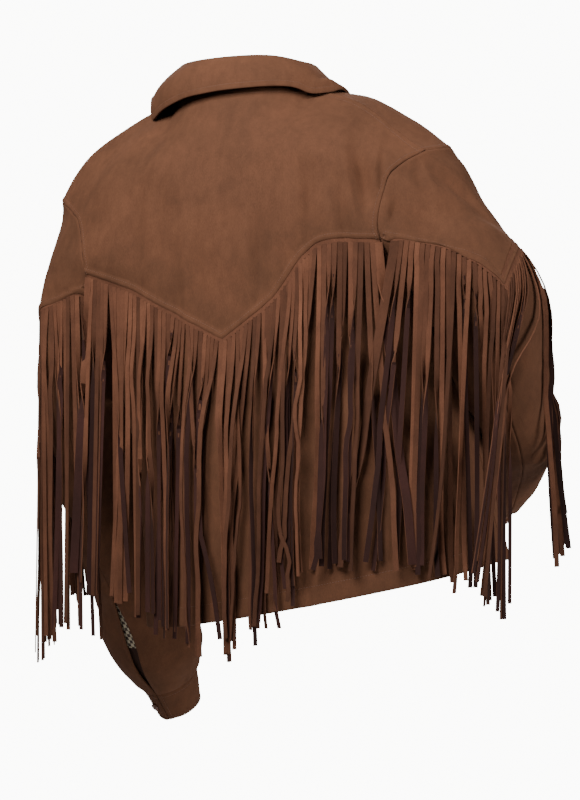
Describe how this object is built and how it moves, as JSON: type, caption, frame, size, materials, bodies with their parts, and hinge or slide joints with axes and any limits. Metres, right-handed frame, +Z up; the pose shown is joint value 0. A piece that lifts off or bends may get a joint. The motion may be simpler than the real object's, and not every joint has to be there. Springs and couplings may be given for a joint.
{
  "type": "fringed suede jacket",
  "caption": "Short fringed suede western jacket with pointed yokes, folded collar and buttoned front, filled out as worn, one arm bent.",
  "frame": {"origin": "between the two sides of the neck seam, where the wearer's shoulders hold the jacket up", "axes": "+Z up; the front faces -Y; the wearer's left is +X"},
  "size_m": [0.6612, 0.3994, 0.8278],
  "materials": {
    "suede_face": "brushed suede, face side",
    "suede_fringe": "suede strands, with the smooth dark reverse showing",
    "button_brown": "satin",
    "checked_facing": "woven check"
  },
  "bodies": {
    "root": {"back_panel": "suede_face", "back_yoke": "suede_face", "front_panel_left": "suede_face", "front_panel_right": "suede_face", "front_yoke_left": "suede_face", "front_yoke_right": "suede_face", "front_placket": "suede_face", "collar_stand": "suede_face", "collar_leaf": "suede_face", "sleeve_cap_left": "suede_face", "sleeve_cap_right": "suede_face", "sleeve_outer_left": "suede_face", "sleeve_outer_right": "suede_face", "sleeve_under_left": "suede_face", "sleeve_under_right": "suede_face", "cuff_left": "suede_face", "cuff_right": "suede_face", "fringe_back": "suede_fringe", "fringe_front_left": "suede_fringe", "fringe_front_right": "suede_fringe", "fringe_sleeve_left": "suede_fringe", "fringe_sleeve_right": "suede_fringe", "front_button_1": "button_brown", "front_button_2": "button_brown", "front_button_3": "button_brown", "front_button_4": "button_brown", "front_button_5": "button_brown", "front_button_6": "button_brown", "cuff_button_left": "button_brown", "cuff_button_right": "button_brown", "slit_facing_left": "checked_facing"}
  },
  "joints": []
}
